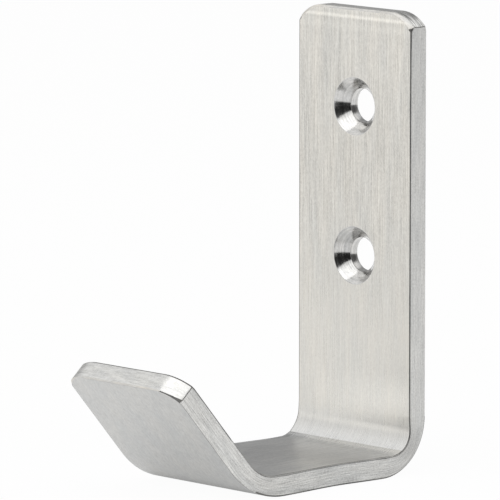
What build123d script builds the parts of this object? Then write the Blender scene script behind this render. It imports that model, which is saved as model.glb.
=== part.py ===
from build123d import *
import os

# Coat hook folded from one flat strip of stainless steel, in millimetres.
# +Z is up, the wall is the plane Y = 0 and the hook stands out from it towards -Y.
# The origin is on the wall face, halfway between the two screw holes.

# Strip
strip_width = 22.0
strip_thickness = 3.0

# Side view: each run is measured on the outside faces, to the corners where they would meet
plate_height = 63.5
arm_length = 32.7
lip_length = 21.9
plate_turn = 90.0
lip_turn = 48.6

# Bends: pressing leaves the outside rounder than an even wall would be
plate_bend_radius = 3.4
plate_bend_flattening = 1.5
lip_bend_radius = 6.3
lip_bend_flattening = 3.5

# Corners of both ends: an arc that starts square with the end and meets the long side at an angle
corner_radius = 5.9
corner_reach = 4.3

# Countersunk screw holes on the centre line of the plate
screw_hole_diameter = 4.7
countersink_diameter = 8.0
countersink_angle = 90.0
top_hole_drop = 13.55
hole_spacing = 20.7

# Broken edges, larger round the ends than along the sides
end_edge_break = 0.3
side_edge_break = 0.15

# Headings of the three runs, from the top of the plate: 0 points forward and 90 points up
plate_heading = -90.0
arm_heading = plate_heading + plate_turn
lip_heading = arm_heading + lip_turn

# The side view is drawn with X forward and Y up, then placed on the strip's middle plane
side_plane = Plane(origin=(0, 0, 0), x_dir=(0, -1, 0), z_dir=(-1, 0, 0))


def step(length, heading):
    """Move of a given length at a heading in the side view."""
    return Vector(length, 0).rotate(Axis.Z, heading)


def inside_corner(outside_corner, heading_before, heading_after):
    """Corner of the inside faces, one strip thickness in from an outside corner."""
    inward_before = step(strip_thickness, heading_before + 90)
    inward_after = step(strip_thickness, heading_after + 90)
    bisector = inward_before + inward_after
    return outside_corner + bisector * (strip_thickness**2 / bisector.dot(inward_before))


# Outside faces from the wall end to the lip end
wall_end = Vector(0, top_hole_drop + hole_spacing / 2)
plate_corner = wall_end + step(plate_height, plate_heading)
lip_corner = plate_corner + step(arm_length, arm_heading)
lip_end = lip_corner + step(lip_length, lip_heading)


def side_view():
    """Section of the folded strip: wall plate, arm and lip."""
    outside_points = [wall_end, plate_corner, lip_corner, lip_end]
    inside_points = [
        wall_end + step(strip_thickness, plate_heading + 90),
        inside_corner(plate_corner, plate_heading, arm_heading),
        inside_corner(lip_corner, arm_heading, lip_heading),
        lip_end + step(strip_thickness, lip_heading + 90),
    ]
    outside_radii = [
        plate_bend_radius + strip_thickness + plate_bend_flattening,
        lip_bend_radius + strip_thickness + lip_bend_flattening,
    ]
    outside = FilletPolyline(*outside_points, radius=outside_radii)
    inside = FilletPolyline(*inside_points, radius=[plate_bend_radius, lip_bend_radius])
    wall_end_line = Line(outside_points[0], inside_points[0])
    lip_end_line = Line(outside_points[-1], inside_points[-1])
    return make_face(Wire([*outside.edges(), *inside.edges(), wall_end_line, lip_end_line]))


def end_frame(end_point, outward_heading):
    """Frame at the middle of a strip end: X across the strip, Y straight out past the end."""
    origin = side_plane.from_local_coords(end_point)
    outward = side_plane.from_local_coords(step(1, outward_heading))
    return Plane(origin=origin, x_dir=(1, 0, 0), z_dir=Vector(1, 0, 0).cross(outward))


def corner_waste(frame):
    """Metal cut from both corners of a strip end, outside the corner arcs."""
    arc_start = strip_width / 2 - corner_reach
    right = Pos(arc_start, 0) * Rectangle(corner_radius, corner_radius, align=(Align.MIN, Align.MAX))
    right -= Pos(arc_start, -corner_radius) * Circle(corner_radius)
    both_corners = right + mirror(right, about=Plane.YZ)
    return extrude(frame * both_corners, 2 * strip_thickness, both=True)


def is_near_end(edge, frame):
    """Whether an edge lies wholly in the rounded part of a strip end."""
    places = [frame.to_local_coords(vertex.center()) for vertex in edge.vertices()]
    return all(place.Y > -corner_radius and abs(place.Z) < 2 * strip_thickness for place in places)


def end_rims(solid, frame):
    """Edges that run round a strip end on its two wide faces, from one long side to the other."""
    long_sides = solid.faces().filter_by(Axis.X).edges()
    near = [edge for edge in solid.edges() if is_near_end(edge, frame) and edge not in long_sides]
    return [edge for edge in near if edge.bounding_box().size.X > side_edge_break]


def side_rims(solid, frames):
    """Edges that run along the strip on its two long sides, between the rounded ends."""
    long_sides = solid.faces().filter_by(Axis.X).edges()
    return [edge for edge in long_sides if not any(is_near_end(edge, frame) for frame in frames)]


def screw_hole(height):
    """Countersunk hole through the plate at a height, cut from its front face."""
    front = Plane(origin=(0, -strip_thickness, height), x_dir=(1, 0, 0), z_dir=(0, -1, 0))
    return front * CounterSinkHole(
        radius=screw_hole_diameter / 2,
        counter_sink_radius=countersink_diameter / 2,
        depth=2 * strip_thickness,
        counter_sink_angle=countersink_angle,
    )


def folded_hook():
    """The whole hook: folded strip, cut corners, broken edges and screw holes."""
    end_frames = [end_frame(wall_end, plate_heading + 180), end_frame(lip_end, lip_heading)]
    hook = extrude(side_plane * side_view(), strip_width / 2, both=True)
    for frame in end_frames:
        hook -= corner_waste(frame)
    for frame in end_frames:
        hook = chamfer(end_rims(hook, frame), end_edge_break)
    hook = chamfer(side_rims(hook, end_frames), side_edge_break)
    for height in (hole_spacing / 2, -hole_spacing / 2):
        hook -= screw_hole(height)
    return hook


os.makedirs("parts", exist_ok=True)
export_step(folded_hook(), "parts/hook.step")
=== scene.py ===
"""Coat hook folded from one flat strip of brushed stainless steel, on a pale floor.

Sizes are in millimetres, as on a workshop drawing, and become metres where meshes are made.
The wall is the plane Y = 0, the hook stands out from it towards -Y, and +Z is up.
"""

import logging
import math
import operator
from collections.abc import Sequence
from dataclasses import dataclass, field
from enum import Enum
from itertools import accumulate

import bpy
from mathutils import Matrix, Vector


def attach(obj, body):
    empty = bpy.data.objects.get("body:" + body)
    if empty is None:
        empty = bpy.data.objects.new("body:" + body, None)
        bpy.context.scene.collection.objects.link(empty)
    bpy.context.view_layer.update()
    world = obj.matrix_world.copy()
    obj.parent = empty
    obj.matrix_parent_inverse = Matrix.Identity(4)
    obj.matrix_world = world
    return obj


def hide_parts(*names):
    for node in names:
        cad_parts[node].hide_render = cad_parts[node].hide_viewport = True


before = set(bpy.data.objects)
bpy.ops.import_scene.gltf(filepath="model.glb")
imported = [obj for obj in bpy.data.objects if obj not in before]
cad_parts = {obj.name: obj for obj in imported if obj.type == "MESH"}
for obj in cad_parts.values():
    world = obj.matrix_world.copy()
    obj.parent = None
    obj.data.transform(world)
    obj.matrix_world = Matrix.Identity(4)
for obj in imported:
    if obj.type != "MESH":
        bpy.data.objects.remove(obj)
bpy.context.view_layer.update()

MM = 0.001
NODE = "hook"
UV_MAP = "OFBake"
log = logging.getLogger("coat_hook")

# Steel patterns: their noise, how far the flecks and patches lie from the lines, the stretches of a pattern
# that go from one colour or roughness to the other, and the darkest shade
PATTERN_DETAIL = 4.0
PATTERN_ROUGHNESS = 0.6
FLECK_SHIFT = 12.9
PATCH_SHIFT = 31.7
TINT_RANGE = (0.35, 0.65)
ROUGHNESS_RANGE = (0.3, 0.7)
LEAST_SHADE = 0.05

# Kinds of input in a node tree, by what they get
INPUT_KINDS = {bpy.types.Object: "Object", bpy.types.Material: "Material", float: "Float", int: "Int"}

Place = tuple[float, float]
Point = tuple[float, float, float]
Colour = tuple[float, float, float]
Socket = bpy.types.NodeSocket


class Zone(Enum):
    """Parts of the strip's surface that are finished in different ways."""

    FRONT = 0
    # The inside face past the plate bend: the front's steel painted darker and greyer as painted shade
    ARM = 1
    BACK = 2
    RIM = 3
    # Edges painted dark as painted dark reflection and shade
    EDGE = 4
    END = 5
    BEVEL = 6
    HOLE = 7
    CORNER = 8

    @property
    def finish_input(self) -> str:
        """Name of the folding tree's input for its finish."""
        return f"{self.name.title()} finish"


class Stretch(Enum):
    """Stretches of the strip's rim, from the wall end to the lip end."""

    TOP_END = 0
    TOP_CORNER = 1
    KINK = 2
    SIDE = 3
    LIP_CORNER = 4
    LIP_END = 5


class Side(Enum):
    """The two wide faces of the strip: the outside of its bends and the inside."""

    OUTSIDE = 0
    INSIDE = 1


class Axis(Enum):
    """Directions on the flat strip: over its width, down its length and through its thickness."""

    WIDTH = 0
    LENGTH = 1
    THICKNESS = 2


def show(name: str, data: bpy.types.ID) -> bpy.types.Object:
    """Adds an object to the scene.

    Args:
        name: Name of the object.
        data: Its mesh, curve, lamp or camera.

    Returns:
        The new object.
    """
    shown = bpy.data.objects.new(name, data)
    bpy.context.scene.collection.objects.link(shown)
    return shown


def opaque(colour: Colour) -> tuple[float, ...]:
    """Gives a colour with full cover."""
    return (*colour, 1.0)


def distances(points: Sequence[tuple[float, ...]]) -> list[float]:
    """Gives the distance to each point from the first, along the line that they make."""
    return [0.0, *accumulate(math.dist(before, after) for before, after in zip(points, points[1:]))]


def rectangle(across: Place, along: Place) -> list[Place]:
    """Gives the corners of a face that is a rectangle on the layout."""
    return [(across[0], along[0]), (across[0], along[1]), (across[1], along[1]), (across[1], along[0])]


class NodeTree:
    """A node tree with short calls for adding nodes to it."""

    def __init__(self, tree: bpy.types.NodeTree) -> None:
        """Starts on an existing tree."""
        self.tree = tree

    def add(self, kind: str, *given: object, **settings: object) -> Socket:
        """Adds a node.

        Args:
            kind: Blender's name for the type of node.
            given: What its inputs get, in order: plain values, outputs, or None to leave one as it is.
            settings: Properties of the node and their values.

        Returns:
            The node's first output.
        """
        node = self.tree.nodes.new(kind)
        for name, value in settings.items():
            setattr(node, name, value)
        for target, value in zip([socket for socket in node.inputs if socket.enabled], given):
            self.feed(target, value)
        return next(socket for socket in node.outputs if socket.enabled)

    def feed(self, target: Socket, value: object) -> None:
        """Gives an input its value.

        Args:
            target: The input.
            value: An output to link, a plain value to set, or None to leave the input as it is.
        """
        if isinstance(value, Socket):
            self.tree.links.new(value, target)
        elif value is not None:
            target.default_value = value

    def math(self, operation: str, *given: object) -> Socket:
        """Adds an operation on numbers and gives its result."""
        return self.add("ShaderNodeMath", *given, operation=operation)

    def vector(self, operation: str, *given: object) -> Socket:
        """Adds an operation on vectors and gives its result."""
        return self.add("ShaderNodeVectorMath", *given, operation=operation)

    def blended(self, share: Socket, first: object, second: object) -> Socket:
        """Adds a mix of two colours and gives the mixed one."""
        return self.add("ShaderNodeMix", share, first, second, data_type="RGBA")

    def scaled(self, value: Socket, old: Sequence, new: Sequence, way: str = "LINEAR") -> Socket:
        """Maps a number from one range onto another, held to the new one."""
        return self.add("ShaderNodeMapRange", value, *old, *new, interpolation_type=way)

    def nearness(self, run: Socket, middle: object, reach: object) -> Socket:
        """Gives nearness to a place: 1 there, and 0 from a reach on."""
        offset = self.math("ABSOLUTE", self.math("SUBTRACT", run, middle))
        return self.scaled(offset, (0.0, reach), (1.0, 0.0), "SMOOTHSTEP")


class SurfaceTree(NodeTree):
    """The node tree of a new material."""

    def __init__(self, name: str) -> None:
        """Makes a material of that name."""
        self.material = bpy.data.materials.new(name)
        self.material.use_nodes = True
        super().__init__(self.material.node_tree)
        self.surface = self.tree.nodes["Principled BSDF"]

    def dress(self, inputs: dict[str, object]) -> None:
        """Gives the surface's inputs their values, by name."""
        for name, value in inputs.items():
            self.feed(self.surface.inputs[name], value)


@dataclass(frozen=True)
class Bend:
    """One bend of the strip, pressed so that its outside is rounder than an even wall would be."""

    turn: float
    inside_radius: float
    flattening: float
    thickness: float = 3.0

    @property
    def outside_radius(self) -> float:
        """Radius on the outside of the bend."""
        return self.inside_radius + self.thickness + self.flattening

    @property
    def angle(self) -> float:
        """Turn in radians."""
        return math.radians(self.turn)

    @property
    def setback(self) -> float:
        """Distance from the bend's outside corner to where it starts."""
        return self.outside_radius * math.tan(self.angle / 2)

    @property
    def outside_length(self) -> float:
        """Length of the outside face through the bend."""
        return self.outside_radius * self.angle

    @property
    def shortening(self) -> float:
        """How much shorter the inside face is than the outside one, over the bend."""
        straights = 2 * self.flattening * math.tan(self.angle / 2)
        return self.outside_length - self.inside_radius * self.angle - straights


@dataclass(frozen=True)
class FoldPath:
    """Side view of the hook: wall plate, arm and lip, each measured on its outside face to the corners."""

    top: float = 23.9
    plate_height: float = 63.5
    arm_length: float = 32.7
    lip_length: float = 21.9
    thickness: float = 3.0
    plate_bend: Bend = Bend(90.0, 3.4, 1.5)
    lip_bend: Bend = Bend(48.6, 6.3, 3.5)

    @property
    def plate_bend_start(self) -> float:
        """Length of strip from the top to the bend under the plate."""
        return self.plate_height - self.plate_bend.setback

    @property
    def plate_bend_end(self) -> float:
        """Length of strip from the top to the start of the arm."""
        return self.plate_bend_start + self.plate_bend.outside_length

    @property
    def lip_bend_start(self) -> float:
        """Length of strip from the top to the end of the arm."""
        return self.plate_bend_end + self.arm_length - self.plate_bend.setback - self.lip_bend.setback

    @property
    def lip_bend_end(self) -> float:
        """Length of strip from the top to the start of the lip."""
        return self.lip_bend_start + self.lip_bend.outside_length

    @property
    def length(self) -> float:
        """Length of the whole strip on its outside face."""
        return self.lip_bend_end + self.lip_length - self.lip_bend.setback

    def corners(self, side: Side) -> list[Vector]:
        """Places the ends and corners of one face in the side view.

        Args:
            side: The face to follow.

        Returns:
            Four points in the plane X = 0, from the top of the plate to the end of the lip.
        """
        headings = [-math.pi / 2, self.plate_bend.angle - math.pi / 2]
        headings.append(headings[1] + self.lip_bend.angle)
        runs = [Vector((0, -math.cos(a), math.sin(a))) for a in headings]
        points = [Vector((0, 0, self.top))]
        for run, length in zip(runs, (self.plate_height, self.arm_length, self.lip_length)):
            points.append(points[-1] + run * length)
        if side is Side.OUTSIDE:
            return points
        inward = [Vector((0, math.sin(a), math.cos(a))) * self.thickness for a in headings]
        inside = [points[0] + inward[0]]
        for corner, before, after in zip(points[1:3], inward, inward[1:]):
            bisector = before + after
            inside.append(corner + bisector * (self.thickness**2 / bisector.dot(before)))
        inside.append(points[3] + inward[2])
        return inside

    def guide(self, side: Side) -> bpy.types.Object:
        """Makes the line that one face of the strip follows.

        Args:
            side: The face to follow.

        Returns:
            A curve of straight runs, whose corner points carry their bend radii.
        """
        bends = (self.plate_bend, self.lip_bend)
        inside = side is Side.INSIDE
        radii = [0.0, *(b.inside_radius if inside else b.outside_radius for b in bends), 0.0]
        curve = bpy.data.curves.new(f"{side.name.lower()}_guide", "CURVE")
        curve.dimensions = "3D"
        spline = curve.splines.new("POLY")
        spline.points.add(len(radii) - 1)
        for point, place, radius in zip(spline.points, self.corners(side), radii):
            point.co = (*(place * MM), 1.0)
            point.radius = radius * MM
        return show(curve.name, curve)


@dataclass
class Shell:
    """A surface under construction, with its finish zones and its unrolled layout."""

    points: list[Point] = field(default_factory=list)
    faces: list[tuple[int, ...]] = field(default_factory=list)
    zones: list[Zone] = field(default_factory=list)
    layout: list[list[Place]] = field(default_factory=list)

    def add(self, face: tuple[int, ...], zone: Zone, layout: list[Place]) -> None:
        """Adds one face.

        Args:
            face: Indices of its points, counter-clockwise seen from outside.
            zone: Its zone.
            layout: Each point's place on the unrolled layout, across the grain and along it.
        """
        self.faces.append(face)
        self.zones.append(zone)
        self.layout.append(layout)

    def mesh(self, name: str) -> bpy.types.Mesh:
        """Turns the surface into a mesh.

        Args:
            name: Name of the mesh.

        Returns:
            The mesh in metres, with zones and the layout as its UV map.
        """
        mesh = bpy.data.meshes.new(name)
        mesh.from_pydata([tuple(size * MM for size in point) for point in self.points], [], self.faces)
        zones = mesh.attributes.new("zone", "INT", "FACE")
        zones.data.foreach_set("value", [zone.value for zone in self.zones])
        places = [place for face in self.layout for place in face]
        reach = [max(place[axis] for place in places) for axis in (0, 1)]
        sizes = [size / most for place in places for size, most in zip(place, reach)]
        mesh.uv_layers.new(name=UV_MAP).uv.foreach_set("vector", sizes)
        mesh.shade_smooth()
        return mesh


@dataclass(frozen=True)
class ScrewHole:
    """A countersunk screw hole through the plate."""

    drop: float
    bore: float = 4.7
    mouth: float = 8.0
    rounding: float = 0.05
    shoulder: Place = (0.2, 0.15)
    back_shoulder: float = 0.6
    rim: float = 0.2
    sides: int = 96

    def section(self, thickness: float) -> list[Place]:
        """Gives the hole's wall, with a narrow ring of the front face before it and one of the back after it.

        Args:
            thickness: Thickness of the plate.

        Returns:
            Pairs of radius and height above the back face.
        """
        wide, narrow, soft = self.mouth / 2, self.bore / 2, self.rounding
        floor = thickness - (wide - narrow)
        lean = soft * math.sqrt(0.5)
        far, near = (share * soft for share in self.shoulder)
        back = self.back_shoulder * soft
        return [
            (wide + soft + self.rim, thickness),
            (wide + soft, thickness),
            (wide + far, thickness - near),
            (wide - lean, thickness - lean),
            (narrow + lean, floor + lean),
            (narrow + near, floor - far),
            (narrow, floor - soft),
            (narrow, 2 * soft),
            (narrow + back, back),
            (narrow + 2 * soft, 0.0),
            (narrow + 2 * soft + self.rim, 0.0),
        ]


@dataclass(frozen=True)
class FlatStrip:
    """The strip before folding: cut corners, broken edges and screw holes.

    X is across the strip, Y runs from the top end at 0 down to the lip end, and Z is the height above the
    outside face.
    """

    path: FoldPath
    width: float = 22.0
    corner_radius: float = 5.9
    corner_reach: float = 4.3
    corner_steps: int = 24
    end_edge: float = 0.27
    lip_edge: float = 0.16
    kink_edge: float = 0.52
    lip_kink_edge: float = 0.36
    lip_thin_edge: float = 0.04
    # Painted dark edges on the lip: the right corner's stops this far short of the lip end, and the whole
    # front edge rounding is painted dark from the next distance down
    lip_dark_from: float = 0.2
    lip_line_from: float = 101.5
    side_rounding: float = 0.22
    rounding_steps: int = 5
    # How many levels of the front edge rounding are painted dark along the arm and along the rest of the
    # sides, as painted dark reflection and shade
    arm_outline: int = 2
    side_outline: int = 3
    softness: float = 0.045
    shoulder: Place = (0.07, 0.18)
    kink_softness: float = 0.05
    kink_blend: Point = (0.25, 0.5, 0.25)
    kink_run: float = 0.6
    plate_bend_steps: int = 108
    arm_steps: int = 24
    lip_bend_steps: int = 32
    holes: tuple[ScrewHole, ...] = (ScrewHole(13.55), ScrewHole(34.25))
    hole_cell: float = 5.5
    step_depth: float = 0.05
    step_from: float = 1.6
    step_to: float = 0.85
    front_end: float = 64.0
    crease_side: float = 5.5
    layout_gap: float = 1.0

    def broken_edge(self, size: float) -> list[Place]:
        """Gives one edge broken at 45 degrees.

        Args:
            size: How far from the corner it is broken.

        Returns:
            Pairs of inset and drop, from the wide face to the rim.
        """
        soft, lean = self.softness, self.softness * math.sqrt(0.5)
        far, low = (share * soft for share in self.shoulder)
        face_end = [(size + soft, 0.0), (size + far, low), (size - lean, lean)]
        return face_end + [(drop, inset) for inset, drop in reversed(face_end)]

    def rounded_edge(self) -> list[Place]:
        """Gives one edge rounded off.

        Returns:
            Pairs of inset and drop, from the wide face to the rim.
        """
        turns = [math.pi / 2 * step / self.rounding_steps for step in range(self.rounding_steps + 1)]
        radius = self.side_rounding
        return [(radius * (1 - math.sin(turn)), radius * (1 - math.cos(turn))) for turn in turns]

    def rim_section(self, front: list[Place], back: list[Place]) -> list[Place]:
        """Joins a front and a back edge into pairs of inset and height, from front to back."""
        return [(inset, self.path.thickness - drop) for inset, drop in front] + back[::-1]

    def lip_corner_edge(self, share: float) -> float:
        """Gives the size of the lip's outside edge at a share of the corner: thin, then wide at the kink."""
        thin = self.lip_thin_edge
        return thin + (self.lip_edge - thin) * (1 - share) ** 4 + (self.lip_kink_edge - thin) * share**3

    def corner_columns(self, wide_front: bool) -> list[list[Point]]:
        """Gives the rim round one cut corner, as distance across, distance from the end, and height.

        Args:
            wide_front: Whether the front edge is the one that widens towards the kink.

        Returns:
            One column of points for each place round the corner, the first where its arc starts.
        """
        centre = self.width / 2 - self.corner_reach
        steps = self.corner_steps
        shares = [step / steps for step in range(steps + 1)]
        even = self.broken_edge(self.end_edge)
        sections = []
        for share in shares:
            if wide_front:
                widening = self.broken_edge(self.end_edge + (self.kink_edge - self.end_edge) * share)
                sections.append(self.rim_section(widening, even))
            else:
                sections.append(self.rim_section(even, self.broken_edge(self.lip_corner_edge(share))))
        columns: list[list[Point]] = [[] for _ in range(steps + 3)]
        for level, (kink_inset, _) in enumerate(sections[-1]):
            side = self.width / 2 - kink_inset
            sweep = math.asin((side - centre) / (self.corner_radius - kink_inset))

            def on_arc(share: float, inset: float) -> Place:
                """Gives a point of the rim.

                Args:
                    share: Its share of the corner's sweep.
                    inset: Its distance in from the corner's arc.

                Returns:
                    Distance across and distance from the end.
                """
                radius = self.corner_radius - inset
                angle = sweep * share
                return centre + radius * math.sin(angle), self.corner_radius - radius * math.cos(angle)

            places = [on_arc(share, section[level][0]) for share, section in zip(shares, sections)]
            kink = places.pop()
            before = on_arc(1 - self.kink_softness / (sweep * self.corner_radius), kink_inset)
            after = (side, kink[1] + self.kink_softness)
            sides = zip(before, kink, after)
            middle = tuple(sum(map(operator.mul, self.kink_blend, sizes)) for sizes in sides)
            places += [before, middle, after]
            for column, section, place in zip(columns, sections + sections[-1:] * 2, places):
                column.append((*place, section[level][1]))
        return columns

    def side_rows(self) -> list[float]:
        """Lists where the strip's long sides have a row of points.

        Returns:
            Distances from the top end, in order.
        """
        path = self.path
        clear = self.corner_radius
        kink = clear - math.sqrt(clear**2 - self.corner_reach**2)
        rows = [kink + self.kink_run, clear]
        for hole in self.holes:
            rows += [hole.drop - self.hole_cell, hole.drop + self.hole_cell]
        for start, end, steps in (
            (path.plate_bend_start, path.plate_bend_end, self.plate_bend_steps),
            (path.plate_bend_end, path.lip_bend_start, self.arm_steps),
            (path.lip_bend_start, path.lip_bend_end, self.lip_bend_steps),
        ):
            rows += [start + (end - start) * step / steps for step in range(steps)]
        rows += [path.lip_bend_end, self.lip_line_from, path.length - clear]
        return [*rows, path.length - kink - self.kink_run]

    def right_columns(self) -> list[list[Point]]:
        """Gives the rim down the right side of the strip.

        Returns:
            One column of points for each place, from the top end to the lip end.
        """
        top = self.corner_columns(wide_front=True)
        lip = self.corner_columns(wide_front=False)[::-1]
        lip = [[(x, self.path.length - y, z) for x, y, z in column] for column in lip]
        section = self.rim_section(self.rounded_edge(), self.rounded_edge())
        side = [[(self.width / 2 - inset, y, height) for inset, height in section] for y in self.side_rows()]
        return top + side + lip

    def rim_stretches(self, columns: int) -> list[Stretch]:
        """Names the stretch between each two columns of the rim.

        Args:
            columns: Number of columns down the right side.

        Returns:
            One stretch for each step round the rim: the right side, the lip end, the left side, the top end.
        """
        corner = [Stretch.KINK] * 2
        side = [Stretch.TOP_CORNER] * self.corner_steps + corner
        side += [Stretch.SIDE] * (columns - 1 - 2 * len(side))
        side += corner + [Stretch.LIP_CORNER] * self.corner_steps
        return [*side, Stretch.LIP_END, *side[::-1], Stretch.TOP_END]

    def rim_zone(self, stretch: Stretch, level: int, from_top: float, on_right: bool) -> Zone:
        """Picks the finish of one face of the rim, where the dark edge zone is painted dark reflection and
        shade along outlines, kinks and the lip's right corner.

        Args:
            stretch: The stretch that it is on.
            level: Its place from the front face to the outside face.
            from_top: Distance from the top end.
            on_right: Whether it is on the right side.

        Returns:
            Its zone.
        """
        flat = self.rounding_steps
        at_lip = from_top > self.front_end
        if stretch is Stretch.SIDE:
            lip_start = (self.path.lip_bend_start + self.path.lip_bend_end) / 2
            bent = self.path.plate_bend_start < from_top < lip_start
            dark = self.arm_outline if self.front_end < from_top < lip_start else self.side_outline
            if from_top >= self.lip_line_from:
                dark = flat
            outlined = from_top > lip_start and level > (2 * flat - 1 if on_right else flat)
            return Zone.EDGE if level < dark or (level > flat and bent) or outlined else Zone.RIM
        if stretch is Stretch.KINK:
            return Zone.EDGE if level >= flat or at_lip else Zone.BEVEL
        if level == flat:
            return Zone.CORNER if stretch is Stretch.TOP_CORNER else Zone.END
        if not at_lip:
            return Zone.EDGE if stretch is Stretch.TOP_CORNER and level > flat else Zone.BEVEL
        before_end = from_top < self.path.length - self.lip_dark_from
        dark_corner = stretch is Stretch.LIP_CORNER and on_right and before_end
        return Zone.EDGE if level < flat or dark_corner else Zone.BEVEL

    def placed(self, point: Point) -> Point:
        """Places a point on the flat strip, with the step across its front near the top end.

        Args:
            point: Distance across, distance from the top end and height above the outside face.

        Returns:
            The point on the strip's own axes.
        """
        x, y, z = point
        share = min(max((self.step_from - y) / (self.step_from - self.step_to), 0.0), 1.0)
        drop = self.step_depth * share * share * (3 - 2 * share)
        return x, -y, z - (drop if z > self.path.thickness / 2 else 0.0)

    def mesh(self) -> bpy.types.Mesh:
        """Builds the flat strip.

        Returns:
            A closed mesh in metres.
        """
        right = self.right_columns()
        left = [[(-x, y, z) for x, y, z in column] for column in right]
        shell = Shell()
        shell.points = [self.placed(point) for column in right + left[::-1] for point in column]
        self.add_rim(shell, right)
        self.add_faces(shell, right)
        return shell.mesh("flat_strip")

    def add_rim(self, shell: Shell, right: list[list[Point]]) -> None:
        """Adds the rim all the way round.

        Args:
            shell: The surface that gets the rim.
            right: The rim's columns down the right side.
        """
        levels, half = len(right[0]), len(right)
        across = distances(right[half // 2])
        along = distances([column[levels // 2] for column in right])
        ribbon = across[-1] + self.layout_gap
        start = 2 * (self.width + self.layout_gap)
        length = self.path.length
        fit = length / along[-1]
        heights = [length - run * fit for run in along]
        for i, stretch in enumerate(self.rim_stretches(half)):
            j = (i + 1) % (2 * half)
            if i < half - 1:
                base, ends = start, (heights[i], heights[j])
            elif half <= i < 2 * half - 1:
                mirrored = 2 * half - 1 - i
                base, ends = start + ribbon, (heights[mirrored], heights[mirrored - 1])
            else:
                run = 2 * right[0][0][0]
                base, low = start + 2 * ribbon, 0.0 if i < half else run + self.layout_gap
                ends = (low, low + run)
            for level in range(levels - 1):
                a, b = i * levels + level, j * levels + level
                zone = self.rim_zone(stretch, level, -shell.points[a][1], i < half)
                layout = rectangle((base + across[level], base + across[level + 1]), ends)
                shell.add((a, b, b + 1, a + 1), zone, layout)

    def add_faces(self, shell: Shell, right: list[list[Point]]) -> None:
        """Adds the two wide faces, row by row, with the holes.

        Args:
            shell: The surface that gets the faces.
            right: The rim's columns down the right side.
        """
        levels, half = len(right[0]), len(right)
        mouths = {round(hole.drop - self.hole_cell, 6): number for number, hole in enumerate(self.holes)}
        seam = {}
        for row, (_, run, height) in enumerate(column[0] for column in right):
            if self.path.plate_bend_start <= run <= self.path.plate_bend_end:
                seam[row] = len(shell.points)
                shell.points.append(self.placed((self.crease_side, run, height)))
        for row in range(half - 1):
            front = [column * levels for column in (2 * half - 1 - row, 2 * half - 2 - row, row + 1, row)]
            back = [corner + levels - 1 for corner in front]
            number = mouths.get(round(right[row][0][1], 6))
            if number is None:
                # Past front_end the inside face takes the arm zone, painted darker as painted shade
                zone = Zone.FRONT if right[row][0][1] < self.front_end else Zone.ARM
                above, below = seam.get(row), seam.get(row + 1)
                if above and below:
                    parts = [front[:2] + [below, above], [above, below] + front[2:]]
                else:
                    joints = [[point] if point else [] for point in (below, above)]
                    parts = [front[:2] + joints[0] + front[2:] + joints[1]]
                for part in parts:
                    self.add_wide(shell, part, zone)
                self.add_wide(shell, back[::-1], Zone.BACK)
            else:
                self.add_hole(shell, number, front, back)

    def add_wide(self, shell: Shell, corners: Sequence[int], zone: Zone) -> None:
        """Adds a part of a wide face, laid out flat.

        Args:
            shell: The surface that gets it.
            corners: Indices of its points.
            zone: Its zone.
        """
        shift = self.width / 2 + (self.width + self.layout_gap if zone is Zone.BACK else 0.0)
        layout = [(shell.points[i][0] + shift, shell.points[i][1] + self.path.length) for i in corners]
        shell.add(tuple(corners), zone, layout)

    def add_hole(self, shell: Shell, number: int, front: list[int], back: list[int]) -> None:
        """Adds a hole's wall and the faces around it.

        Args:
            shell: The surface that gets the hole.
            number: Which hole it is.
            front: Points of the front face around the hole: left above, left below, right below, right above.
            back: The same points on the back face.
        """
        hole = self.holes[number]
        section = hole.section(self.path.thickness)
        first, depth, quarter = len(shell.points), len(section), hole.sides // 4
        for step in range(hole.sides):
            angle = 2 * math.pi * (step + 0.5) / hole.sides + math.pi / 4
            across, down = -math.sin(angle), -math.cos(angle)
            ring = [(radius * across, hole.drop + radius * down, height) for radius, height in section]
            shell.points += [self.placed(point) for point in ring]
        wall = distances(section)
        base = 2 * (self.width + self.layout_gap) + 2 * (self.path.thickness + self.layout_gap)
        low = 2 * self.width + number * (math.pi * hole.bore + self.layout_gap)
        for step in range(hole.sides):
            here, there = first + step * depth, first + (step + 1) % hole.sides * depth
            ends = [low + math.pi * hole.bore * turn / hole.sides for turn in (step, step + 1)]
            bands = [(here + i, there + i, there + i + 1, here + i + 1) for i in range(depth - 1)]
            for level, band in enumerate(bands[1:-1], 1):
                shell.add(band, Zone.HOLE, rectangle((base + wall[level], base + wall[level + 1]), ends))
            turned = step + 1 + quarter // 2
            corner = turned // quarter % 4
            ring = [front[corner], there, here], [here + depth - 1, there + depth - 1, back[corner]]
            if turned % quarter == 0:
                ring[0].insert(0, front[corner - 1])
                ring[1].append(back[corner - 1])
            for zone, faces in ((Zone.FRONT, (ring[0], bands[0])), (Zone.BACK, (ring[1], bands[-1]))):
                for face in faces:
                    self.add_wide(shell, face, zone)


@dataclass(frozen=True)
class Grain:
    """Lines in the steel: how close, how long, and how far they lighten and darken it."""

    per_mm: float
    length: float
    tone: float


@dataclass(frozen=True)
class Drift:
    """How lines and flecks grow or fade between two distances down the strip, as shares of their tone."""

    start: float = 0.0
    end: float = 1.0
    lines: float = 1.0
    flecks: float = 1.0


@dataclass(frozen=True)
class LightAndShadeBand:
    """A soft band across the strip, painted lighter or darker than the rest as painted light and shade, with
    a lean per mm to the right.
    """

    start: float
    end: float
    tone: float
    lean: float = 0.0


@dataclass(frozen=True)
class Fade:
    """How the steel's colour gives way to another from one distance down the strip to another, as a painted
    change of light.
    """

    start: float
    end: float
    colour: Colour


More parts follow.
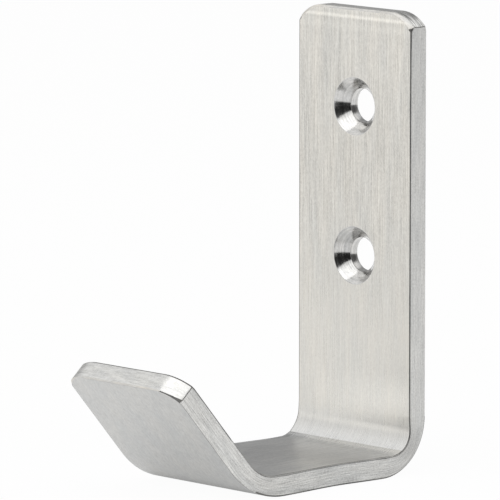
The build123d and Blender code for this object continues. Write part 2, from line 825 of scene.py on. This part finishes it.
@dataclass(frozen=True)
class SteelFinish:
    """Stainless steel worked in one direction, with fine lines along the grain and broader patches."""

    name: str
    across: Axis
    warm: Colour
    cool: Colour
    smooth: float
    rough: float
    anisotropy: float
    lines: Grain
    flecks: Grain
    patches: Grain
    relief: float
    seed: float
    drift: Drift = Drift()
    # Bands of painted light and shade down the strip
    bands: tuple[LightAndShadeBand, ...] = ()
    fade: Fade | None = None

    def material(self) -> bpy.types.Material:
        """Makes the finish as a material.

        Returns:
            A material that reads the place on the flat strip from the piece's own attributes.
        """
        tree = SteelTree(self)
        lines = tree.pattern(self.lines, 0.0)
        patches = tree.pattern(self.patches, PATCH_SHIFT)
        share = tree.scaled(patches, TINT_RANGE, (0.0, 1.0))
        tint = tree.blended(share, opaque(self.cool), opaque(self.warm))
        if self.fade is not None:
            share = tree.scaled(tree.run, (self.fade.start, self.fade.end), (0.0, 1.0))
            tint = tree.blended(share, tint, opaque(self.fade.colour))
        tree.dress({
            "Base Color": tree.vector("SCALE", tint, tree.shade(lines, patches)),
            "Metallic": 1.0,
            "Roughness": tree.scaled(lines, ROUGHNESS_RANGE, (self.smooth, self.rough)),
            "Anisotropic": self.anisotropy,
            "Tangent": tree.attribute("across_grain"),
            "Normal": tree.add("ShaderNodeBump", None, self.relief * MM, None, lines),
        })
        return tree.material


class SteelTree(SurfaceTree):
    """The node tree of one finish, with distances down from the top end and to the right, in millimetres."""

    def __init__(self, finish: SteelFinish) -> None:
        """Makes the finish's material and reads the place on the flat strip."""
        super().__init__(finish.name)
        self.finish = finish
        self.place = self.attribute("flat_place")
        parts = self.add("ShaderNodeSeparateXYZ", self.place).node.outputs
        self.run = self.math("MULTIPLY", parts[Axis.LENGTH.value], -1.0)
        self.aside = parts[Axis.WIDTH.value]

    def attribute(self, name: str) -> Socket:
        """Reads a vector that the piece carries."""
        return self.add("ShaderNodeAttribute", attribute_name=name).node.outputs["Vector"]

    def pattern(self, grain: Grain, shift: float) -> Socket:
        """Adds a pattern of lines along the grain.

        Args:
            grain: The lines.
            shift: Moves the pattern, so that two of them differ.

        Returns:
            The pattern, from 0 to 1.
        """
        scale = [1.0 / grain.length] * 3
        scale[self.finish.across.value] = grain.per_mm
        place = self.add("ShaderNodeMapping", self.place, [self.finish.seed + shift] * 3, None, scale)
        return self.add("ShaderNodeTexNoise", place, 1.0, PATTERN_DETAIL, PATTERN_ROUGHNESS)

    def swing(self, pattern: Socket, grain: Grain) -> Socket:
        """Gives how far a pattern lightens or darkens the steel, 0 on average."""
        return self.math("MULTIPLY", self.math("SUBTRACT", pattern, 0.5), 2.0 * grain.tone)

    def shade(self, lines: Socket, patches: Socket) -> Socket:
        """Gives how light the steel is: 1 on average, more or less on lines, flecks and patches, and on bands
        of painted light and shade.

        Args:
            lines: The fine lines' pattern.
            patches: The patches' pattern.

        Returns:
            The shade.
        """
        finish, drift = self.finish, self.finish.drift
        flecks = self.pattern(finish.flecks, FLECK_SHIFT)
        total = self.math("ADD", self.swing(patches, finish.patches), 1.0)
        kinds = (lines, finish.lines, drift.lines), (flecks, finish.flecks, drift.flecks)
        for pattern, grain, share in kinds:
            strength = self.scaled(self.run, (drift.start, drift.end), (1.0, share))
            total = self.math("ADD", self.math("MULTIPLY", self.swing(pattern, grain), strength), total)
        # Painted light and shade from the bands
        for band in finish.bands:
            middle = (band.start + band.end) / 2
            tone = self.math("ADD", self.math("MULTIPLY", self.aside, band.lean), band.tone)
            change = self.math("MULTIPLY", self.nearness(self.run, middle, band.end - middle), tone)
            total = self.math("ADD", change, total)
        return self.math("MAXIMUM", total, LEAST_SHADE)

FINISHES = {
    Zone.FRONT: SteelFinish(
        "brushed_front", Axis.WIDTH, (0.702, 0.678, 0.628), (0.675, 0.663, 0.627), 0.24, 0.35, 0.3,
        Grain(5.5, 6.0, 0.46), Grain(6.0, 0.4, 0.3), Grain(0.4, 16.0, 0.05), 0.004, 0.0,
        Drift(28.0, 42.0, 0.5, 0.5),
        # Painted light and shade: a painted highlight band about 1.2 mm below the top end, lighter steel
        # round it, a darker middle of the plate, and lighter steel low on the plate, most to the right
        (
            LightAndShadeBand(0.8, 1.65, 0.26), LightAndShadeBand(-1.4, 1.5, 0.1), LightAndShadeBand(1.5, 3.5, 0.06), LightAndShadeBand(6.0, 38.0, -0.04),
            LightAndShadeBand(36.0, 60.0, 0.04), LightAndShadeBand(49.0, 60.0, 0.13, 0.013),
        ),
        # Painted light: the front's warm tint gives way to the neutral grey of the arm over the plate bend
        Fade(56.0, 63.0, (0.7, 0.7, 0.69)),
    ),
    Zone.ARM: SteelFinish(
        "brushed_arm", Axis.WIDTH, (0.645, 0.645, 0.64), (0.61, 0.615, 0.615), 0.32, 0.44, 0.5,
        Grain(4.0, 5.0, 0.4), Grain(4.0, 0.5, 0.25), Grain(0.5, 10.0, 0.08), 0.004, 21.7,
        # Painted shade: the arm darker along its length, more to the right
        bands=(LightAndShadeBand(65.0, 82.0, -0.08, -0.014),),
    ),
    Zone.BACK: SteelFinish(
        "brushed_back", Axis.WIDTH, (0.64, 0.636, 0.62), (0.61, 0.615, 0.61), 0.3, 0.4, 0.3,
        Grain(3.0, 1.2, 0.26), Grain(5.0, 0.4, 0.2), Grain(0.4, 6.0, 0.04), 0.004, 3.9,
        # Painted shade: a dark band on the outside face along the bottom of the lip bend
        bands=(LightAndShadeBand(84.2, 95.2, -0.3),),
    ),
    Zone.RIM: SteelFinish(
        "ground_rim", Axis.THICKNESS, (0.66, 0.655, 0.635), (0.61, 0.612, 0.6), 0.26, 0.36, 0.2,
        Grain(6.5, 4.0, 0.45), Grain(7.0, 0.3, 0.4), Grain(0.8, 8.0, 0.05), 0.004, 7.3,
        Drift(56.0, 70.0, 1.8, 1.3),
        # Painted light and shade: the sides darker through the plate bend and lighter down the lip
        (LightAndShadeBand(56.0, 67.0, -0.2), LightAndShadeBand(90.0, 112.0, 0.08)),
    ),
    # Painted dark reflection and shade along edges
    Zone.EDGE: SteelFinish(
        "dark_edge", Axis.THICKNESS, (0.2, 0.195, 0.185), (0.14, 0.14, 0.14), 0.35, 0.5, 0.0,
        Grain(4.0, 3.0, 0.4), Grain(5.0, 1.0, 0.3), Grain(1.0, 4.0, 0.3), 0.0, 11.2,
    ),
    Zone.END: SteelFinish(
        "filed_end", Axis.THICKNESS, (0.69, 0.685, 0.66), (0.64, 0.64, 0.63), 0.24, 0.36, 0.2,
        Grain(4.0, 2.0, 0.4), Grain(5.0, 0.3, 0.25), Grain(1.0, 4.0, 0.05), 0.004, 13.6,
    ),
    Zone.CORNER: SteelFinish(
        "filed_corner", Axis.THICKNESS, (0.72, 0.715, 0.69), (0.6, 0.6, 0.59), 0.2, 0.32, 0.2,
        Grain(2.6, 4.0, 2.4), Grain(5.0, 0.4, 0.4), Grain(1.0, 4.0, 0.1), 0.02, 5.4,
    ),
    Zone.BEVEL: SteelFinish(
        "broken_edge", Axis.THICKNESS, (0.74, 0.71, 0.66), (0.68, 0.675, 0.655), 0.45, 0.6, 0.0,
        Grain(5.0, 2.0, 0.3), Grain(5.0, 0.5, 0.2), Grain(1.0, 4.0, 0.1), 0.0, 17.9,
    ),
    Zone.HOLE: SteelFinish(
        "turned_hole", Axis.THICKNESS, (0.63, 0.62, 0.6), (0.57, 0.57, 0.565), 0.12, 0.22, 0.3,
        Grain(6.0, 6.0, 0.5), Grain(5.0, 0.5, 0.3), Grain(1.0, 3.0, 0.08), 0.003, 15.1,
    ),
}


class FoldTree(NodeTree):
    """The geometry tree that folds a flat strip along two guides and finishes it."""

    def __init__(self, values: dict[str, object]) -> None:
        """Makes the tree's inputs and output, and reads the place on the flat strip.

        Args:
            values: What the inputs will get, by their names.
        """
        super().__init__(bpy.data.node_groups.new("fold_strip", "GeometryNodeTree"))
        kinds = {name: INPUT_KINDS[type(value)] for name, value in values.items()}
        for name, kind in ({"Geometry": "Geometry"} | kinds).items():
            self.tree.interface.new_socket(name, in_out="INPUT", socket_type=f"NodeSocket{kind}")
        self.tree.interface.new_socket("Geometry", in_out="OUTPUT", socket_type="NodeSocketGeometry")
        self.given = self.tree.nodes.new("NodeGroupInput").outputs
        self.place = self.add("GeometryNodeInputPosition")
        self.across, down, self.height = self.add("ShaderNodeSeparateXYZ", self.place).node.outputs
        self.run = self.math("MULTIPLY", down, -1.0)

    def build(self) -> bpy.types.NodeTree:
        """Fills the tree.

        Returns:
            The tree, ready for a modifier.
        """
        given = self.given
        inside_run = self.run
        for bend in ("Plate bend", "Lip bend"):
            ends = (given[f"{bend} start"], given[f"{bend} end"])
            saved = self.scaled(self.run, ends, (0.0, given[f"{bend} shortening"]))
            inside_run = self.math("SUBTRACT", inside_run, saved)
        outside = self.guided("Outside guide", self.run)
        through = self.vector("SUBTRACT", self.guided("Inside guide", inside_run), outside)
        share = self.math("DIVIDE", self.height, given["Thickness"])
        rise = self.vector("SCALE", through, self.math("ADD", share, self.marks(share)))
        swelling = self.math("MULTIPLY", self.near("Swelling"), share)
        swelling = self.math("MULTIPLY", swelling, given["Swelling share"])
        aside = self.math("MULTIPLY", self.across, self.math("ADD", swelling, 1.0))
        aside = self.add("ShaderNodeCombineXYZ", aside)
        folded = self.vector("ADD", self.vector("ADD", outside, rise), aside)
        geometry = self.store(given["Geometry"], "flat_place", self.vector("SCALE", self.place, 1 / MM))
        zone = self.add("GeometryNodeInputNamedAttribute", "zone", data_type="INT")
        wide = self.compared("LESS_EQUAL", zone, Zone.BACK)
        ways = (self.vector("NORMALIZE", through), (1.0, 0.0, 0.0))
        way = self.add("GeometryNodeSwitch", wide, *ways, input_type="VECTOR")
        geometry = self.store(geometry, "across_grain", way, "CORNER")
        geometry = self.add("GeometryNodeSetPosition", geometry, None, folded)
        geometry = self.add("GeometryNodeRealizeInstances", geometry)
        for kind in Zone:
            chosen = self.compared("EQUAL", zone, kind)
            geometry = self.add("GeometryNodeSetMaterial", geometry, chosen, given[kind.finish_input])
        self.feed(self.tree.nodes.new("NodeGroupOutput").inputs[0], geometry)
        return self.tree

    def compared(self, operation: str, zone: Socket, kind: Zone) -> Socket:
        """Compares the zone of each face with one kind."""
        return self.add("FunctionNodeCompare", zone, kind.value, data_type="INT", operation=operation)

    def near(self, mark: str) -> Socket:
        """Gives nearness to a mark, from the two inputs with its name."""
        return self.nearness(self.run, self.given[f"{mark} middle"], self.given[f"{mark} reach"])

    def marks(self, share: Socket) -> Socket:
        """Gives what pressing leaves: the arm's bow, and a crease in the plate bend that fades to the right.

        Args:
            share: Height above the outside face, as a share of the thickness.

        Returns:
            The rise towards the inside, as a share of the thickness.
        """
        given = self.given
        fading = self.scaled(self.across, (given["Crease fade start"], given["Crease fade end"]), (1.0, 0.0))
        crease = self.math("MULTIPLY", self.near("Crease"), self.math("MULTIPLY", fading, share))
        rise = self.math("MULTIPLY", self.near("Bow"), given["Bow depth"])
        rise = self.math("SUBTRACT", rise, self.math("MULTIPLY", crease, given["Crease depth"]))
        return self.math("DIVIDE", rise, given["Thickness"])

    def guided(self, name: str, run: Socket) -> Socket:
        """Rounds a guide's corners and finds places along it.

        Args:
            name: Name of the input for the guide.
            run: Distance along the guide.

        Returns:
            The place.
        """
        guide = self.add("GeometryNodeObjectInfo", self.given[name]).node.outputs["Geometry"]
        radius = self.add("GeometryNodeInputRadius")
        rounded = self.add("GeometryNodeFilletCurve", guide, self.given["Guide steps"], radius, mode="POLY")
        return self.add("GeometryNodeSampleCurve", rounded, None, run, mode="LENGTH").node.outputs["Position"]

    def store(self, geometry: Socket, name: str, value: Socket, domain: str = "POINT") -> Socket:
        """Keeps a vector on the mesh under a name."""
        kind = "GeometryNodeStoreNamedAttribute"
        return self.add(kind, geometry, None, name, value, data_type="FLOAT_VECTOR", domain=domain)


@dataclass(frozen=True)
class FoldedHook:
    """The hook: the flat strip, folded along its side view and finished."""

    strip: FlatStrip
    finishes: dict[Zone, SteelFinish]
    swelling: float = 0.022
    swelling_spread: float = 1.2
    arm_bow: float = 0.15
    crease_run: float = 62.9
    crease_width: float = 1.1
    crease_depth: float = 0.085
    crease_fade: tuple[float, float] = (7.0, 9.0)
    guide_steps: int = 240
    normal_weight: int = 100

    def lengths(self) -> dict[str, float]:
        """Lists what the folding tree measures with.

        Returns:
            Lengths in metres, and the swelling as a share, by the names of the tree's inputs.
        """
        path = self.strip.path
        sizes = {
            "Thickness": path.thickness,
            "Bow depth": self.arm_bow,
            "Crease depth": self.crease_depth,
            "Crease fade start": self.crease_fade[0],
            "Crease fade end": self.crease_fade[1],
            "Plate bend start": path.plate_bend_start,
            "Plate bend end": path.plate_bend_end,
            "Plate bend shortening": path.plate_bend.shortening,
            "Lip bend start": path.lip_bend_start,
            "Lip bend end": path.lip_bend_end,
            "Lip bend shortening": path.lip_bend.shortening,
        }
        for mark, start, end in (
            ("Bow", path.plate_bend_end, path.lip_bend_start),
            ("Swelling", path.plate_bend_start, path.plate_bend_end),
            ("Crease", self.crease_run - self.crease_width / 2, self.crease_run + self.crease_width / 2),
        ):
            sizes |= {f"{mark} middle": (start + end) / 2, f"{mark} reach": (end - start) / 2}
        sizes["Swelling reach"] *= self.swelling_spread
        return {name: size * MM for name, size in sizes.items()} | {"Swelling share": self.swelling}

    def build(self) -> bpy.types.Object:
        """Folds the strip and finishes it.

        Returns:
            The hook as one plain mesh object.
        """
        blank = show("flat_strip", self.strip.mesh())
        guides = {f"{side.name.title()} guide": self.strip.path.guide(side) for side in Side}
        values = guides | self.lengths() | {"Guide steps": self.guide_steps}
        values |= {zone.finish_input: self.finishes[zone].material() for zone in Zone}
        modifier = blank.modifiers.new("fold", "NODES")
        modifier.node_group = FoldTree(values).build()
        for socket in modifier.node_group.interface.items_tree:
            if socket.in_out == "INPUT" and socket.name in values:
                modifier[socket.identifier] = values[socket.name]
        blank.modifiers.new("normals", "WEIGHTED_NORMAL").weight = self.normal_weight
        depsgraph = bpy.context.evaluated_depsgraph_get()
        mesh = bpy.data.meshes.new_from_object(blank.evaluated_get(depsgraph), depsgraph=depsgraph)
        mesh.name = "folded_strip"
        piece = show("folded_strip", mesh)
        for spare in (blank, *guides.values()):
            bpy.data.objects.remove(spare)
        return piece


@dataclass(frozen=True)
class Glow:
    """A soft round part of the surroundings that is lighter or darker than the rest."""

    direction: Point
    full_angle: float
    end_angle: float
    colour: Colour


@dataclass(frozen=True)
class Studio:
    """Floor, lamp, surroundings and camera."""

    floor_level: float = -39.6
    floor_size: float = 6.0
    floor_colour: Colour = (0.93, 0.93, 0.925)
    floor_glow: float = 0.96
    # Painted shadow seen only in reflections: the floor's glow to glossy rays is dimmer close to the hook's
    # foot
    foot: Point = (0.0, -22.0, -39.6)
    foot_reach: tuple[float, float] = (8.0, 42.0)
    painted_foot_shadow: tuple[float, float] = (0.4, 0.93)
    surround_colour: Colour = (0.42, 0.42, 0.42)
    glows: tuple[Glow, ...] = (
        Glow((-0.75, -0.66, 0.05), 30.0, 75.0, (0.9, 0.9, 0.9)),
        Glow((-0.72, -0.69, 0.05), 4.0, 14.0, (1.12, 1.11, 1.09)),
        Glow((-0.72, -0.14, 0.68), 16.0, 31.0, (0.98, 0.98, 0.98)),
        Glow((-0.62, 0.72, 0.3), 18.0, 35.0, (0.38, 0.38, 0.38)),
        Glow((0.05, 0.66, 0.75), 12.0, 26.0, (0.95, 0.95, 0.95)),
        Glow((0.66, 0.66, 0.33), 16.0, 26.0, (0.1, 0.1, 0.1)),
        Glow((0.66, -0.68, 0.32), 22.0, 30.0, (0.02, 0.02, 0.02)),
    )
    lamp_direction: Point = (0.22, -0.38, 0.9)
    lamp_distance: float = 0.8
    lamp_size: float = 1.0
    lamp_radiance: float = 1.15
    card_near: float = 0.2
    card_far: float = 3.0
    card_spread: float = 1.8
    card_lift: float = 0.001
    card_colour: Colour = (0.01, 0.01, 0.01)
    backdrop: Colour = (1.0, 1.0, 1.0)
    camera_place: Point = (634.15, -627.06, 119.53)
    camera_yaw: float = 46.383
    camera_pitch: float = -8.259
    lens: float = 469.52
    sensor: float = 36.0
    clip: Place = (0.1, 20.0)
    aim: Point = (0.0, -20.0, -10.0)
    def floor(self) -> None:
        """Makes the floor under the arm, white to the camera but with the hook's shadow kept, and with a
        painted shadow round the hook's foot that only reflections see.
        """
        half, level = self.floor_size / 2, self.floor_level * MM
        corners = [(-half, -half, level), (half, -half, level), (half, half, level), (-half, half, level)]
        tree = SurfaceTree("pale_floor")
        tree.dress({"Base Color": opaque(self.floor_colour), "Roughness": 1.0, "Specular IOR Level": 0.0})
        rays = tree.add("ShaderNodeLightPath").node.outputs
        place = tree.add("ShaderNodeNewGeometry").node.outputs["Position"]
        away = tree.vector("DISTANCE", place, Vector(self.foot) * MM)
        glossy_glow_with_painted_shadow = tree.scaled(away, [reach * MM for reach in self.foot_reach], self.painted_foot_shadow)
        seen = tree.math("MULTIPLY", rays["Is Camera Ray"], self.floor_glow)
        seen = tree.math("ADD", seen, tree.math("MULTIPLY", rays["Is Glossy Ray"], glossy_glow_with_painted_shadow))
        glow = tree.add("ShaderNodeEmission")
        mixed = tree.add("ShaderNodeMixShader", seen, tree.surface.outputs[0], glow)
        tree.feed(tree.tree.nodes["Material Output"].inputs["Surface"], mixed)
        self.stage("floor", corners, tree.material)

    def card(self) -> None:
        """Lays a black card on the floor in front of the camera, which darkens edges that reflect it."""
        away = Vector(self.camera_place).xy.normalized()
        aside = Vector((-away.y, away.x)) * self.card_spread / 2
        level = self.floor_level * MM + self.card_lift
        near, far = self.card_near, self.card_far
        ends = ((near, -1), (far, -1), (far, 1), (near, 1))
        corners = [(*(away * reach + aside * reach / far * side), level) for reach, side in ends]
        tree = SurfaceTree("black_card")
        tree.dress({"Base Color": opaque(self.card_colour), "Specular IOR Level": 0.0})
        self.stage("card", corners, tree.material).visible_camera = False

    def stage(self, name: str, corners: list[Point], material: bpy.types.Material) -> bpy.types.Object:
        """Adds a flat part of the studio.

        Args:
            name: Name of the part.
            corners: Its corners in metres, in order.
            material: Its material.

        Returns:
            The new object.
        """
        mesh = bpy.data.meshes.new(name)
        mesh.from_pydata(corners, [], [tuple(range(len(corners)))])
        mesh.materials.append(material)
        part = show(name, mesh)
        return part

    def surroundings(self) -> None:
        """Sets the soft light from all round, and the white that the camera sees behind the hook."""
        world = bpy.data.worlds.new("studio")
        world.use_nodes = True
        bpy.context.scene.world = world
        tree = NodeTree(world.node_tree)
        way = tree.add("ShaderNodeTexCoord").node.outputs["Generated"]
        colour: object = opaque(self.surround_colour)
        for glow in self.glows:
            nearness = tree.vector("DOT_PRODUCT", way, Vector(glow.direction).normalized())
            limits = [math.cos(math.radians(angle)) for angle in (glow.end_angle, glow.full_angle)]
            colour = tree.blended(tree.scaled(nearness, limits, (0.0, 1.0)), colour, opaque(glow.colour))
        camera = tree.add("ShaderNodeLightPath").node.outputs["Is Camera Ray"]
        colour = tree.blended(camera, colour, opaque(self.backdrop))
        tree.feed(world.node_tree.nodes["Background"].inputs["Color"], colour)

    def light(self) -> None:
        """Hangs a soft square lamp that faces the hook."""
        lamp = bpy.data.lights.new("overhead_front", "AREA")
        lamp.shape = "SQUARE"
        lamp.size = self.lamp_size
        lamp.energy = self.lamp_radiance * math.pi * lamp.size**2
        aim = Vector(self.aim) * MM
        holder = show("overhead_front", lamp)
        holder.location = aim + Vector(self.lamp_direction).normalized() * self.lamp_distance
        holder.rotation_mode = "QUATERNION"
        holder.rotation_quaternion = (aim - holder.location).to_track_quat("-Z", "Y")

    def camera(self) -> None:
        """Sets the camera at the photograph's viewing angle."""
        data = bpy.data.cameras.new("camera")
        data.lens = self.lens
        data.sensor_width = self.sensor
        data.clip_start, data.clip_end = self.clip
        camera = show("camera", data)
        camera.location = Vector(self.camera_place) * MM
        camera.rotation_euler = (math.radians(90 + self.camera_pitch), 0.0, math.radians(self.camera_yaw))
        bpy.context.scene.camera = camera

    def build(self) -> None:
        """Sets up the whole studio."""
        self.floor()
        self.card()
        self.surroundings()
        self.light()
        self.camera()
        bpy.context.scene.view_settings.view_transform = "Standard"


def report(piece: bpy.types.Object) -> None:
    """Logs a finished piece's size and number of faces."""
    sizes = " x ".join(f"{size / MM:.1f}" for size in piece.dimensions)
    log.info("%s: %s mm, %d faces", piece.name, sizes, len(piece.data.polygons))


def main() -> None:
    """Builds the hook and the studio."""
    logging.basicConfig(level=logging.INFO, format="%(name)s: %(message)s")
    hook = FoldedHook(FlatStrip(FoldPath()), FINISHES).build()
    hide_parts(NODE)
    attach(hook, "root")
    report(hook)
    Studio().build()


if __name__ == "__main__":
    main()
